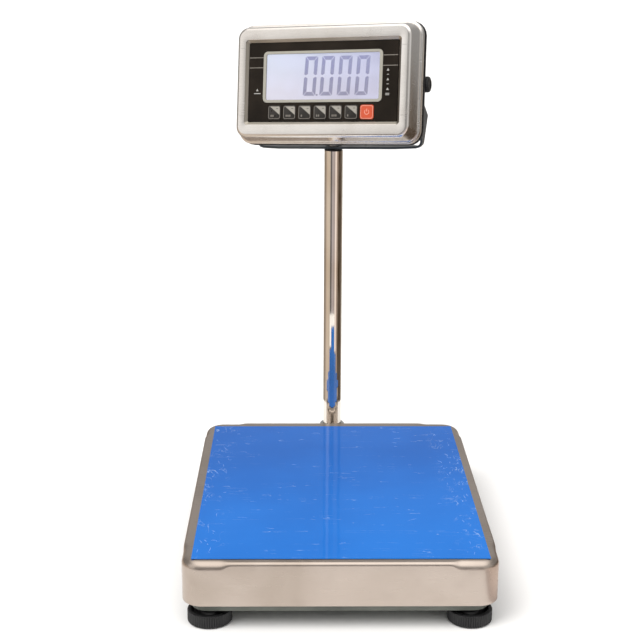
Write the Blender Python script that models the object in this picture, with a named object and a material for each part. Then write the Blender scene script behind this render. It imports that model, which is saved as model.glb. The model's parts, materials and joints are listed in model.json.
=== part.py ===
"""Platform shipping scale: a weighing pan on a single load cell, a rear column and a tilting indicator.

Metres, +Z up, the operator stands at -Y. The floor is z = 0 and the origin is the centre of the footprint.
"""

import math

import bmesh
import bpy
from mathutils import Matrix, Vector

# ---------------------------------------------------------------- driving dimensions
GAP = 0.0003                 # clearance between pieces that touch

PAN_WIDTH = 0.350            # X
PAN_LENGTH = 0.450           # Y
PAN_TOP = 0.080              # weighing surface above the floor
PAN_SKIRT = 0.052            # height of the folded side
PAN_SHEET = 0.0015
PAN_CORNER = 0.024
PAN_EDGE = 0.006             # radius between top and side
PAN_Y = -0.0535              # centre of the pan, so that the footprint is centred on the origin

FILM_THICK = 0.0004
FILM_LEFT, FILM_RIGHT, FILM_FRONT, FILM_REAR = 0.0116, 0.0106, 0.010, 0.017   # margins on the pan

BASE_HALF_X = 0.165
BASE_HALF_Y = 0.215
BASE_LOW = 0.018             # underside of the lower frame
BASE_HIGH = 0.043
BASE_WALL = 0.003
BASE_FLANGE = 0.0032
BASE_CORNER = 0.018
WINDOW_HALF_X = 0.125        # inner edge of the bottom flange
WINDOW_HALF_Y = 0.175
BEAM_HALF = 0.045            # U-shaped centre beam that carries the load cell
BEAM_SHEET = 0.0024
BEAM_HIGH = 0.0415

FOOT_X, FOOT_Y = 0.145, 0.200
FOOT_RADIUS = 0.025
FOOT_TOP = 0.015
STUD_RADIUS = 0.0048

CELL_WIDTH, CELL_LENGTH = 0.038, 0.150
CELL_LOW, CELL_HIGH = 0.0243, 0.0490
CELL_BOLTS = (0.040, 0.065)  # bolt distances from the middle of the cell

UPPER_LOW, UPPER_HIGH = 0.052, 0.072
UPPER_SHEET = 0.0025
ARM_Y, ARM_HALF, ARM_REACH = 0.150, 0.022, 0.150
SPINE_HALF = 0.045
PAD_X, PAD_RADIUS = 0.118, 0.011
STOP_X, STOP_RADIUS, STOP_HIGH = 0.138, 0.0045, 0.0685

COLUMN_Y = 0.260             # column axis behind the pan's centre
COLUMN_RADIUS = 0.0125
COLUMN_WALL = 0.0015
COLUMN_LOW = 0.0180
COLUMN_TOP = 0.4585
SOCKET_RADIUS = 0.017
SOCKET_TOP = 0.068
SOCKET_PLATE = 0.003

HEAD_Z = 0.4610              # underside of the indicator bracket on the swivel axis
HEAD_YAW = math.radians(-23.0)
HEAD_LEAN = math.radians(3.1)   # the clamped head sits slightly out of level
HEAD_SHIFT = 0.0065          # the bracket's slotted seat lets it sit off the column's centre line
HEAD_TILT = math.radians(11.5)
PIVOT_RISE = 0.0835          # tilt axis above the bracket's underside

BRACKET_SHEET = 0.003
BRACKET_ARM = 0.1185         # middle of the upright arm's thickness
BRACKET_BEND = 0.008         # radius between the base and the upright arm
BRACKET_WAIST = (-0.001, 0.009)   # front and rear edge of the strap round that bend
BRACKET_WIDEST = 0.0395      # height where the arm is deepest
BRACKET_FRONT, BRACKET_REAR = -0.009, 0.027   # the whole strap passes behind the housing's flange
BOSS_RADIUS = 0.009

CASE_HALF_X, CASE_HALF_Z = 0.1285, 0.0790
CASE_CORNER = 0.018
CASE_FRONT = -0.0512         # rim plane, measured from the tilt axis
CASE_SPLIT = -0.0168         # back of the front shell
CASE_REAR = 0.0220
BODY_HALF_X, BODY_HALF_Z = 0.1115, 0.0670   # rear shell behind its flange
PANEL_HALF_X, PANEL_HALF_Z = 0.105, 0.0515
PANEL_FRONT = -0.0486
PANEL_THICK = 0.0016
WINDOW_X, WINDOW_Z, WINDOW_MID = 0.0797, 0.0300, 0.00685   # display window half sizes, centre height
KEY_COUNT = 7
KEY_PITCH = 0.0218
KEY_HALF = 0.0093
KEY_Z = -0.0398
POST_X, POST_Z, POST_RADIUS = 0.094, 0.058, 0.0036
GLAND_X, GLAND_Z = 0.072, -0.030
KNOB_RADIUS = 0.0104


# ---------------------------------------------------------------- scene and materials
def clear_scene():
    for item in list(bpy.data.objects):
        bpy.data.objects.remove(item, do_unlink=True)


def material(name, colour, roughness, metallic=0.0):
    mat = bpy.data.materials.get(name)
    if mat is None:
        mat = bpy.data.materials.new(name)
        mat.use_nodes = True
        shader = mat.node_tree.nodes["Principled BSDF"]
        shader.inputs["Base Color"].default_value = (*colour, 1.0)
        shader.inputs["Roughness"].default_value = roughness
        shader.inputs["Metallic"].default_value = metallic
    return mat


def stainless():
    return material("stainless", (0.66, 0.62, 0.57), 0.3, 1.0)


def frame_paint():
    return material("frame_paint", (0.10, 0.11, 0.10), 0.55)


def black_plastic():
    return material("black_plastic", (0.02, 0.02, 0.022), 0.45)


def rubber():
    return material("rubber", (0.03, 0.03, 0.03), 0.85)


def zinc_steel():
    return material("zinc_steel", (0.55, 0.55, 0.56), 0.35, 1.0)


# ---------------------------------------------------------------- shape helpers
def empty(name, location, rotation=None, parent=None):
    axis = bpy.data.objects.new(name, None)
    bpy.context.scene.collection.objects.link(axis)
    axis.parent = parent
    axis.location = location
    if rotation is not None:
        axis.rotation_euler = rotation.to_euler()
    return axis


def place(name, mesh, mat, location=(0, 0, 0), rotation=(0, 0, 0), parent=None):
    piece = bpy.data.objects.new(name, mesh)
    bpy.context.scene.collection.objects.link(piece)
    piece.parent = parent
    piece.location = location
    piece.rotation_euler = rotation
    mesh.materials.append(mat)
    mesh.shade_smooth()
    mesh.set_sharp_from_angle(angle=math.radians(35))
    return piece


def loft(name, rings, closed=False):
    """Skin through rings of equal point count; the ends are capped, or joined to each other when closed."""
    bm = bmesh.new()
    loops = [[bm.verts.new(point) for point in ring] for ring in rings]
    count = len(loops[0])
    pairs = list(zip(loops, loops[1:]))
    if closed:
        pairs.append((loops[-1], loops[0]))
    else:
        bm.faces.new(loops[0])
        bm.faces.new(loops[-1])
    for low, high in pairs:
        for i in range(count):
            j = (i + 1) % count
            bm.faces.new((low[i], low[j], high[j], high[i]))
    bmesh.ops.recalc_face_normals(bm, faces=bm.faces)
    mesh = bpy.data.meshes.new(name)
    bm.to_mesh(mesh)
    bm.free()
    return mesh


def rounded(half_a, half_b, radius, steps=5):
    """Outline of a rectangle with round corners, counter-clockwise."""
    points = []
    corners = ((1, 1), (-1, 1), (-1, -1), (1, -1))
    for quarter, (side_a, side_b) in enumerate(corners):
        centre = Vector((side_a * (half_a - radius), side_b * (half_b - radius)))
        for step in range(steps + 1):
            angle = math.pi / 2 * (quarter + step / steps)
            points.append(centre + radius * Vector((math.cos(angle), math.sin(angle))))
    return points


def level_ring(half_x, half_y, radius, z):
    return [(p.x, p.y, z) for p in rounded(half_x, half_y, radius)]


def upright_ring(half_x, half_z, radius, y, mid_z=0.0):
    return [(p.x, y, mid_z + p.y) for p in rounded(half_x, half_z, radius)]


def block(name, low, high, corner=0.0004):
    """A bar from its lowest to its highest corner, with lightly rounded upright edges."""
    half_x, half_y = (high[0] - low[0]) / 2, (high[1] - low[1]) / 2
    mid = Vector(((high[0] + low[0]) / 2, (high[1] + low[1]) / 2))
    outline = rounded(half_x, half_y, corner, 2)
    return loft(name, [[(p.x + mid.x, p.y + mid.y, z) for p in outline] for z in (low[2], high[2])])


def prism(name, outline, low, high, axis="Z"):
    """An outline extruded along an axis; the outline's pair is (x, y), (x, z) or (y, z)."""
    lift = {
        "Z": lambda p, t: (p[0], p[1], t),
        "Y": lambda p, t: (p[0], t, p[1]),
        "X": lambda p, t: (t, p[0], p[1]),
    }[axis]
    return loft(name, [[lift(p, t) for p in outline] for t in (low, high)])


def turned(name, profile, segments=24, closed=False, ribs=0.0):
    """Profile of (radius, height) spun about Z; ribs makes every second outer point stand back."""
    outer = max(radius for radius, _ in profile)
    rings = []
    for radius, z in profile:
        ring = []
        for i in range(segments):
            reach = radius - (ribs if i % 2 and radius > outer - ribs else 0.0)
            angle = 2 * math.pi * i / segments
            ring.append((reach * math.cos(angle), reach * math.sin(angle), z))
        rings.append(ring)
    return loft(name, rings, closed)


def tool(name, mesh, location=(0, 0, 0), rotation=(0, 0, 0), parent=None):
    """A hidden helper shape for a Boolean modifier."""
    shape = bpy.data.objects.new(name, mesh)
    bpy.context.scene.collection.objects.link(shape)
    shape.parent = parent
    shape.location = location
    shape.rotation_euler = rotation
    shape.hide_render = True
    shape.display_type = "WIRE"
    return shape


def combine(piece, shape, operation):
    modifier = piece.modifiers.new(shape.name, "BOOLEAN")
    modifier.operation = operation
    modifier.object = shape


def drill(piece, name, radius, low, high, location, rotation=(0, 0, 0), segments=16):
    cutter = turned(name, [(radius, high), (radius, low)], segments)
    combine(piece, tool(name, cutter, location, rotation, piece.parent), "DIFFERENCE")


def corners(x, y):
    """Name suffix and place of the four corners of the platform."""
    names = {("f", "l"): (-x, -y), ("f", "r"): (x, -y), ("r", "l"): (-x, y), ("r", "r"): (x, y)}
    return [(end + side, spot) for (end, side), spot in names.items()]


# ---------------------------------------------------------------- weighing pan
def pan():
    def ring(inset, z):
        radius = max(PAN_CORNER - inset, 0.002)
        return level_ring(PAN_WIDTH / 2 - inset, PAN_LENGTH / 2 - inset, radius, z)

    def shell(offset):
        radius = PAN_EDGE - offset
        arc = [math.pi / 2 * step / 4 for step in range(5)]
        top = [ring(offset + radius * (1 - math.sin(a)), PAN_TOP - offset - radius * (1 - math.cos(a)))
               for a in arc]
        return top + [ring(offset, PAN_TOP - PAN_SKIRT)]

    rings = shell(0.0) + shell(PAN_SHEET)[::-1]
    return place("weighing_pan", loft("weighing_pan", rings), stainless(), (0, PAN_Y, 0))


def film():
    blue = material("protective_film", (0.04, 0.20, 0.75), 0.15)
    low = (-PAN_WIDTH / 2 + FILM_LEFT, -PAN_LENGTH / 2 + FILM_FRONT, PAN_TOP + GAP)
    high = (PAN_WIDTH / 2 - FILM_RIGHT, PAN_LENGTH / 2 - FILM_REAR, PAN_TOP + GAP + FILM_THICK)
    return place("protective_film", block("protective_film", low, high), blue, (0, PAN_Y, 0))


# ---------------------------------------------------------------- upper frame on the load cell
def inset(outline, distance):
    """The outline moved inwards by a distance, for counter-clockwise square-cornered outlines."""
    moved = []
    for i, point in enumerate(outline):
        before = (Vector(point) - Vector(outline[i - 1])).normalized()
        after = (Vector(outline[(i + 1) % len(outline)]) - Vector(point)).normalized()
        inward = Vector((-before.y - after.y, before.x + after.x))
        moved.append(tuple(Vector(point) + inward * distance))
    return moved


def upper_frame():
    """An I-shaped pressing with its lips turned down."""
    near, far = ARM_Y - ARM_HALF, ARM_Y + ARM_HALF
    half = [(SPINE_HALF, near), (ARM_REACH, near), (ARM_REACH, far), (-ARM_REACH, far),
            (-ARM_REACH, near), (-SPINE_HALF, near)]
    outline = half + [(-x, -y) for x, y in half]
    inner = inset(outline, UPPER_SHEET)
    rings = [
        [(x, y, UPPER_HIGH) for x, y in outline],
        [(x, y, UPPER_LOW) for x, y in outline],
        [(x, y, UPPER_LOW) for x, y in inner],
        [(x, y, UPPER_HIGH - UPPER_SHEET) for x, y in inner],
    ]
    piece = place("upper_frame", loft("upper_frame", rings), frame_paint(), (0, PAN_Y, 0))
    for y in CELL_BOLTS:
        drill(piece, f"upper_hole_{y:.3f}", 0.0034, 0.060, 0.080, (0, PAN_Y + y, 0))


def pan_pads():
    profile = [(0.007, 0.0), (PAD_RADIUS, 0.0), (PAD_RADIUS, 0.0045), (0.0095, 0.0059), (0.006, 0.0059)]
    for suffix, (x, y) in corners(PAD_X, ARM_Y):
        mesh = turned(f"pan_pad_{suffix}", profile, 16)
        place(f"pan_pad_{suffix}", mesh, rubber(), (x, PAN_Y + y, UPPER_HIGH + GAP))


def load_cell():
    """Aluminium single-point cell along Y: its front end is bolted down, its rear end carries the pan."""
    alloy = material("aluminium", (0.62, 0.63, 0.64), 0.4, 1.0)
    low = (-CELL_WIDTH / 2, -CELL_LENGTH / 2, CELL_LOW)
    high = (CELL_WIDTH / 2, CELL_LENGTH / 2, CELL_HIGH)
    piece = place("load_cell", block("load_cell", low, high, 0.001), alloy, (0, PAN_Y, 0))
    middle = (CELL_LOW + CELL_HIGH) / 2
    outline = []
    for side in (1, -1):
        for step in range(13):
            angle = math.radians(-157.5 + 315 * step / 12) + (math.pi if side < 0 else 0.0)
            outline.append((side * 0.016 + 0.008 * math.cos(angle), middle + 0.008 * math.sin(angle)))
    throat = prism("cell_throat", outline, -0.03, 0.03, "X")
    combine(piece, tool("cell_throat", throat, (0, PAN_Y, 0)), "DIFFERENCE")
    for y in CELL_BOLTS:
        drill(piece, f"cell_front_thread_{y:.3f}", 0.0033, 0.020, 0.038, (0, PAN_Y - y, 0))
        drill(piece, f"cell_rear_thread_{y:.3f}", 0.0033, 0.035, 0.055, (0, PAN_Y + y, 0))


def cell_top_block():
    low = (-CELL_WIDTH / 2, 0.0305, CELL_HIGH + GAP)
    high = (CELL_WIDTH / 2, CELL_LENGTH / 2, UPPER_HIGH - UPPER_SHEET - GAP)
    piece = place("load_cell_top_block", block("load_cell_top_block", low, high, 0.001), zinc_steel(),
                  (0, PAN_Y, 0))
    for y in CELL_BOLTS:
        drill(piece, f"block_hole_{y:.3f}", 0.0034, 0.045, 0.075, (0, PAN_Y + y, 0))


def bolt_mesh(name, shank, length, head, head_high, segments=12):
    """Headed screw along Z with its head above z = 0 and its shank below."""
    edge = 0.12 * head
    profile = [(shank, -length), (shank, 0.0), (head, 0.0), (head, head_high - edge),
               (head - edge, head_high)]
    return turned(name, profile, segments)


def cell_bolts():
    for number, y in enumerate(CELL_BOLTS, 1):
        upper, lower = f"load_cell_upper_bolt_{number}", f"load_cell_lower_bolt_{number}"
        place(upper, bolt_mesh(upper, 0.0030, 0.036, 0.0055, 0.004), zinc_steel(),
              (0, PAN_Y + y, UPPER_HIGH + GAP))
        place(lower, bolt_mesh(lower, 0.0030, 0.0185, 0.0055, 0.004), zinc_steel(),
              (0, PAN_Y - y, BASE_LOW), (math.pi, 0, 0))


# ---------------------------------------------------------------- lower frame and feet
def base_frame():
    """Folded angle ring with a wide bottom flange, a U-shaped centre beam and four overload stops."""
    outer = (BASE_HALF_X, BASE_HALF_Y, BASE_CORNER)
    inner = tuple(size - BASE_WALL for size in outer)
    lip = (WINDOW_HALF_X, WINDOW_HALF_Y, 0.008)
    flange_top = BASE_LOW + BASE_FLANGE
    rings = [
        level_ring(*outer, BASE_LOW),
        level_ring(*outer, BASE_HIGH),
        level_ring(*inner, BASE_HIGH),
        level_ring(*inner, flange_top),
        level_ring(*lip, flange_top),
        level_ring(*lip, BASE_LOW),
    ]
    piece = place("base_frame", loft("base_frame", rings, closed=True), frame_paint(), (0, PAN_Y, 0))

    low = BASE_LOW + 0.0004
    floor = low + BEAM_SHEET
    side = BEAM_HALF - BEAM_SHEET
    channel = [(-BEAM_HALF, low), (BEAM_HALF, low), (BEAM_HALF, BEAM_HIGH), (side, BEAM_HIGH),
               (side, floor), (-side, floor), (-side, BEAM_HIGH), (-BEAM_HALF, BEAM_HIGH)]
    reach = WINDOW_HALF_Y + 0.003
    beam = prism("centre_beam", channel, -reach, reach, "Y")
    combine(piece, tool("centre_beam", beam, (0, PAN_Y, 0)), "UNION")
    seat = block("cell_seat", (-CELL_WIDTH / 2, -CELL_LENGTH / 2, floor - 0.0005),
                 (CELL_WIDTH / 2, -0.0305, CELL_LOW - GAP))
    combine(piece, tool("cell_seat", seat, (0, PAN_Y, 0)), "UNION")
    for suffix, (x, y) in corners(STOP_X, ARM_Y):
        stop = turned("overload_stop", [(STOP_RADIUS, BASE_LOW + 0.001), (STOP_RADIUS, STOP_HIGH)], 12)
        combine(piece, tool(f"overload_stop_{suffix}", stop, (x, PAN_Y + y, 0)), "UNION")
    for suffix, (x, y) in corners(FOOT_X, FOOT_Y):
        drill(piece, f"foot_hole_{suffix}", 0.0056, 0.010, 0.030, (x, PAN_Y + y, 0))
    for y in CELL_BOLTS:
        drill(piece, f"seat_hole_{y:.3f}", 0.0034, 0.010, 0.030, (0, PAN_Y - y, 0))
    for side_name, x in (("l", -0.030), ("r", 0.030)):
        drill(piece, f"socket_hole_{side_name}", 0.0044, 0.010, 0.030, (x, PAN_Y + 0.195, 0))


def foot_nuts():
    """Weld nuts on the bottom flange; the foot studs screw through them."""
    high = 0.008
    flange_top = BASE_LOW + BASE_FLANGE + GAP
    profile = [(0.0051, 0.0), (0.0095, 0.0), (0.0095, high), (0.0051, high)]
    for suffix, (x, y) in corners(FOOT_X, FOOT_Y):
        mesh = turned(f"foot_nut_{suffix}", profile, 12, closed=True)
        place(f"foot_nut_{suffix}", mesh, zinc_steel(), (x, PAN_Y + y, flange_top))


def feet():
    """Knurled hand wheel moulded on a stud, over a rubber sole that stays still while it turns."""
    sole_high, sole_radius = 0.003, 0.0205
    wheel = [
        (0.004, 0.040), (STUD_RADIUS, 0.0388), (STUD_RADIUS, 0.0135), (0.009, 0.0132), (0.0105, 0.0105),
        (0.0185, 0.0105), (0.0200, FOOT_TOP), (0.0235, FOOT_TOP), (FOOT_RADIUS, FOOT_TOP - 0.0015),
        (FOOT_RADIUS, 0.0022), (0.0238, 0.0010), (sole_radius + 0.0008, 0.0010),
        (sole_radius + 0.0008, sole_high + GAP),
    ]
    for suffix, (x, y) in corners(FOOT_X, FOOT_Y):
        mesh = turned(f"foot_wheel_{suffix}", wheel, 28, ribs=0.0007)
        place(f"foot_wheel_{suffix}", mesh, black_plastic(), (x, PAN_Y + y, 0))
        sole = turned(f"foot_sole_{suffix}", [(sole_radius, sole_high), (sole_radius, 0.0)], 24)
        place(f"foot_sole_{suffix}", sole, rubber(), (x, PAN_Y + y, 0))


def bubble_level():
    acrylic = material("level_acrylic", (0.65, 0.75, 0.30), 0.1)
    profile = [(0.008, 0.0), (0.009, 0.001), (0.009, 0.007), (0.0075, 0.0085)]
    mesh = turned("bubble_level", profile, 20)
    place("bubble_level", mesh, acrylic, (0.100, PAN_Y - 0.194, BASE_LOW + BASE_FLANGE + GAP))


# ---------------------------------------------------------------- column
def column_socket():
    """Plate under the lower frame's rear flange, with a gusseted tube that holds the column."""
    high = BASE_LOW - GAP
    low = high - SOCKET_PLATE
    rear = COLUMN_Y + SOCKET_RADIUS + 0.006
    plate = block("column_socket", (-0.045, 0.178, low), (0.045, rear, high), 0.008)
    piece = place("column_socket", plate, stainless(), (0, PAN_Y, 0))
    bore = COLUMN_RADIUS + GAP
    wall = [(SOCKET_RADIUS, low + 0.001), (SOCKET_RADIUS, SOCKET_TOP - 0.001),
            (SOCKET_RADIUS - 0.001, SOCKET_TOP), (bore, SOCKET_TOP), (bore, low + 0.001)]
    tube = turned("socket_tube", wall, 32, closed=True)
    combine(piece, tool("socket_tube", tube, (0, PAN_Y + COLUMN_Y, 0)), "UNION")
    for side in (-1, 1):
        rib = [(side * (SOCKET_RADIUS - 0.001), high - 0.001), (side * 0.041, high - 0.001),
               (side * (SOCKET_RADIUS - 0.001), SOCKET_TOP - 0.008)]
        mesh = prism("socket_rib", rib, COLUMN_Y - 0.0015, COLUMN_Y + 0.0015, "Y")
        combine(piece, tool(f"socket_rib_{side}", mesh, (0, PAN_Y, 0)), "UNION")
        drill(piece, f"plate_hole_{side}", 0.0044, 0.010, 0.030, (side * 0.030, PAN_Y + 0.195, 0))
    screw_y = PAN_Y + COLUMN_Y + SOCKET_RADIUS
    drill(piece, "clamp_hole", 0.0042, -0.006, 0.010, (0, screw_y, 0.045), (-math.pi / 2, 0, 0))


def column_bolts():
    for name, x in (("column_bolt_left", -0.030), ("column_bolt_right", 0.030)):
        mesh = bolt_mesh(name, 0.004, 0.010, 0.0070, 0.0050)
        place(name, mesh, zinc_steel(), (x, PAN_Y + 0.195, BASE_LOW - SOCKET_PLATE - 2 * GAP),
              (math.pi, 0, 0))
    mesh = bolt_mesh("column_clamp_screw", 0.0038, SOCKET_RADIUS - COLUMN_RADIUS, 0.0060, 0.0050)
    location = (0, PAN_Y + COLUMN_Y + SOCKET_RADIUS + GAP, 0.045)
    place("column_clamp_screw", mesh, zinc_steel(), location, (-math.pi / 2, 0, 0))


def column():
    inner = COLUMN_RADIUS - COLUMN_WALL
    wall = [(COLUMN_RADIUS, COLUMN_TOP), (COLUMN_RADIUS, COLUMN_LOW), (inner, COLUMN_LOW),
            (inner, COLUMN_TOP)]
    place("column", turned("column", wall, 36, closed=True), stainless(), (0, PAN_Y + COLUMN_Y, 0))


def column_plug(head):
    """Moulded plug with a flange on the tube's end and a threaded bore for the swivel bolt."""
    profile = [(0.0085, -0.024), (0.0092, -0.022), (0.0092, -0.0014), (0.0127, -0.0014),
               (0.0127, -0.0005), (0.0123, 0.0), (0.0043, 0.0), (0.0043, -0.018)]
    place("column_plug", turned("column_plug", profile, 24), black_plastic(), parent=head)


def swivel_bolt(head):
    mesh = bolt_mesh("swivel_bolt", 0.0040, 0.020, 0.0065, 0.0036)
    place("swivel_bolt", mesh, zinc_steel(), (0, 0, BRACKET_SHEET + 2 * GAP), parent=head)


# ---------------------------------------------------------------- indicator bracket
def bracket_side():
    """Middle line of the right half as (x, z, front, rear), from the base to the arm's round end."""
    path = [(0.020, 0.0, BRACKET_FRONT, BRACKET_REAR), (0.085, 0.0, BRACKET_FRONT, BRACKET_REAR)]
    for degrees in (0, 30, 60, 90):
        angle = math.radians(degrees)
        path.append((BRACKET_ARM - BRACKET_BEND * (1 - math.sin(angle)),
                     BRACKET_BEND * (1 - math.cos(angle)), *BRACKET_WAIST))
    path += [(BRACKET_ARM, BRACKET_WIDEST, BRACKET_FRONT, BRACKET_REAR),
             (BRACKET_ARM, BRACKET_WIDEST + 0.019, BRACKET_FRONT, BOSS_RADIUS)]
    middle = PIVOT_RISE - BRACKET_SHEET / 2
    for step in range(6):
        angle = math.radians(17 * step)
        half = BOSS_RADIUS * math.cos(angle)
        path.append((BRACKET_ARM, middle + BOSS_RADIUS * math.sin(angle), -half, half))
    return path


def indicator_bracket(head):
    right = bracket_side()
    path = [(-x, z, front, rear) for x, z, front, rear in reversed(right)] + right
    mid = [Vector((x, z + GAP + BRACKET_SHEET / 2)) for x, z, _, _ in path]
    rings = []
    for i, (_, _, front, rear) in enumerate(path):
        before = (mid[i] - mid[i - 1]).normalized() if i else (mid[1] - mid[0]).normalized()
        after = (mid[i + 1] - mid[i]).normalized() if i + 1 < len(path) else before
        along = (before + after).normalized()
        across = Vector((-along.y, along.x)) * (BRACKET_SHEET / 2 / along.dot(before))
        up, down = mid[i] + across, mid[i] - across
        rings.append([(up.x, front, up.y), (up.x, rear, up.y), (down.x, rear, down.y),
                      (down.x, front, down.y)])
    dark = material("bracket_paint", (0.06, 0.07, 0.08), 0.35)
    piece = place("indicator_bracket", loft("indicator_bracket", rings), dark, (HEAD_SHIFT, 0, 0),
                  parent=head)
    seat = [(p.x, p.y) for p in rounded(0.012, 0.0046, 0.0044, 4)]
    slot = prism("bracket_slot", seat, -0.005, 0.010)
    combine(piece, tool("bracket_slot", slot, (0, 0, 0), parent=head), "DIFFERENCE")
    for side in (-1, 1):
        drill(piece, f"bracket_pivot_hole_{side}", 0.0044, 0.112, 0.126,
              (HEAD_SHIFT, 0, PIVOT_RISE + GAP), (0, side * math.pi / 2, 0))


# ---------------------------------------------------------------- indicator housing
def front_shell(tilt):
    """Stainless front: a flat rim round a sloped recess, a round edge, a side and a stepped rear flange."""
    edge = 0.005
    rim_x, rim_z = 0.1172, 0.0677
    rings = [
        upright_ring(CASE_HALF_X, CASE_HALF_Z, CASE_CORNER, CASE_SPLIT),
        upright_ring(CASE_HALF_X, CASE_HALF_Z, CASE_CORNER, CASE_SPLIT - 0.0080),
        upright_ring(CASE_HALF_X - 0.0027, CASE_HALF_Z - 0.0027, CASE_CORNER - 0.002, CASE_SPLIT - 0.0084),
    ]
    for step in range(4):
        angle = math.pi / 2 * step / 3
        grow = edge * math.cos(angle)
        rings.append(upright_ring(rim_x + grow, rim_z + grow, 0.010 + grow,
                                  CASE_FRONT + edge * (1 - math.sin(angle))))
    rings += [
        upright_ring(PANEL_HALF_X + 0.0043, PANEL_HALF_Z + 0.0043, 0.0045, CASE_FRONT),
        upright_ring(PANEL_HALF_X + 0.0004, PANEL_HALF_Z + 0.0004, 0.0015, CASE_FRONT + 0.0030),
        upright_ring(PANEL_HALF_X + 0.0004, PANEL_HALF_Z + 0.0004, 0.0015, CASE_FRONT + 0.0045),
        upright_ring(PANEL_HALF_X + 0.0025, PANEL_HALF_Z + 0.0025, 0.0030, CASE_FRONT + 0.0048),
        upright_ring(PANEL_HALF_X + 0.0038, PANEL_HALF_Z + 0.0038, 0.0040, CASE_FRONT + 0.0018),
        upright_ring(rim_x - 0.0014, rim_z - 0.0014, 0.0095, CASE_FRONT + 0.0018),
        upright_ring(rim_x + 0.0032, rim_z + 0.0032, 0.0135, CASE_FRONT + 0.0060),
        upright_ring(rim_x + 0.0066, rim_z + 0.0066, 0.0145, CASE_SPLIT - 0.0100),
        upright_ring(rim_x + 0.0066, rim_z + 0.0066, 0.0145, CASE_SPLIT),
    ]
    piece = place("front_shell", loft("front_shell", rings, closed=True), stainless(), parent=tilt)
    turn = (-math.pi / 2, 0, 0)
    for side in (-1, 1):
        for level in (-1, 1):
            spot = (side * POST_X, 0, level * POST_Z)
            shaft = [(POST_RADIUS, CASE_FRONT + 0.0014), (POST_RADIUS, CASE_REAR - 0.0024)]
            post = turned("case_post", shaft, 12)
            combine(piece, tool(f"case_post_{side}_{level}", post, spot, turn, tilt), "UNION")
            drill(piece, f"case_thread_{side}_{level}", 0.0021, CASE_REAR - 0.018, CASE_REAR, spot, turn, 10)


def gasket(tilt):
    shape = [(0.0004, CASE_SPLIT + GAP), (0.0004, CASE_SPLIT + 0.0023), (0.0034, CASE_SPLIT + 0.0023),
             (0.0034, CASE_SPLIT + GAP)]
    rings = [upright_ring(CASE_HALF_X - cut, CASE_HALF_Z - cut, CASE_CORNER - cut, y) for cut, y in shape]
    place("case_gasket", loft("case_gasket", rings, closed=True), rubber(), parent=tilt)


def rear_shell(tilt):
    """Black moulded back: a flange over the gasket and a narrower box with bosses for the knobs."""
    front = CASE_SPLIT + 0.0026
    wall = 0.002
    body = [(BODY_HALF_X - cut, BODY_HALF_Z - cut, CASE_CORNER - cut) for cut in (0.0, 0.0016, 0.0031)]
    lip = (CASE_HALF_X + 0.001, CASE_HALF_Z + 0.001, CASE_CORNER + 0.001)
    flange = [upright_ring(*lip, front), upright_ring(*lip, front + 0.0034)]
    outside = [upright_ring(*size, y)
               for size, y in zip(body, (front + 0.0037, CASE_REAR - 0.0015, CASE_REAR))]
    inside = [upright_ring(*(value - wall for value in size), y)
              for size, y in zip(body, (front, CASE_REAR - wall))]
    mesh = loft("rear_shell", (flange + outside)[::-1] + inside)
    piece = place("rear_shell", mesh, black_plastic(), parent=tilt)
    back = (-math.pi / 2, 0, 0)
    low, high = CASE_REAR - 0.008, CASE_REAR + 0.008
    for side in (-1, 1):
        sideways = (0, side * math.pi / 2, 0)
        boss = turned("knob_boss", [(0.0085, BODY_HALF_X - 0.0017), (0.0085, 0.1166)], 20)
        combine(piece, tool(f"knob_boss_{side}", boss, (0, 0, 0), sideways, tilt), "UNION")
        drill(piece, f"knob_thread_{side}", 0.0042, 0.100, 0.125, (0, 0, 0), sideways)
        drill(piece, f"gland_hole_{side}", 0.0063, low, high, (side * GLAND_X, 0, GLAND_Z), back)
        for level in (-1, 1):
            spot = (side * POST_X, 0, level * POST_Z)
            drill(piece, f"rear_hole_{side}_{level}", 0.0022, low, high, spot, back, 10)


def case_screws(tilt):
    for side, side_name in ((-1, "left"), (1, "right")):
        for level, level_name in ((-1, "lower"), (1, "upper")):
            name = f"case_screw_{level_name}_{side_name}"
            mesh = bolt_mesh(name, 0.0018, 0.016, 0.0034, 0.0022)
            place(name, mesh, zinc_steel(), (side * POST_X, CASE_REAR + GAP, level * POST_Z),
                  (-math.pi / 2, 0, 0), tilt)


def cable_glands(tilt):
    """Domed cable glands through the rear face, one for the load cell and one for the supply."""
    profile = [(0.0031, -0.0080), (0.0060, -0.0080), (0.0060, 0.0), (0.0095, 0.0), (0.0095, 0.0045),
               (0.0085, 0.0048), (0.0085, 0.0110), (0.0060, 0.0150), (0.0031, 0.0155)]
    for name, side in (("load_cell_gland", -1), ("supply_gland", 1)):
        mesh = turned(name, profile, 16, closed=True)
        place(name, mesh, black_plastic(), (side * GLAND_X, CASE_REAR + GAP, GLAND_Z),
              (-math.pi / 2, 0, 0), tilt)


def front_panel(tilt):
    """Black front panel with a display window and seven key openings."""
    black = material("front_panel", (0.015, 0.012, 0.010), 0.3)
    rings = [upright_ring(PANEL_HALF_X, PANEL_HALF_Z, 0.0012, y)
             for y in (PANEL_FRONT, PANEL_FRONT + PANEL_THICK)]
    piece = place("front_panel", loft("front_panel", rings), black, parent=tilt)
    low, high = PANEL_FRONT - 0.004, PANEL_FRONT + 0.006
    window = loft("window_cut", [upright_ring(WINDOW_X, WINDOW_Z, 0.002, y, WINDOW_MID)
                                 for y in (low, high)])
    combine(piece, tool("window_cut", window, parent=tilt), "DIFFERENCE")
    hole = KEY_HALF + 0.0004
    for number, x in key_places():
        opening = loft("key_cut", [upright_ring(hole, hole, 0.0030, y) for y in (low, high)])
        combine(piece, tool(f"key_cut_{number}", opening, (x, 0, KEY_Z), parent=tilt), "DIFFERENCE")


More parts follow.
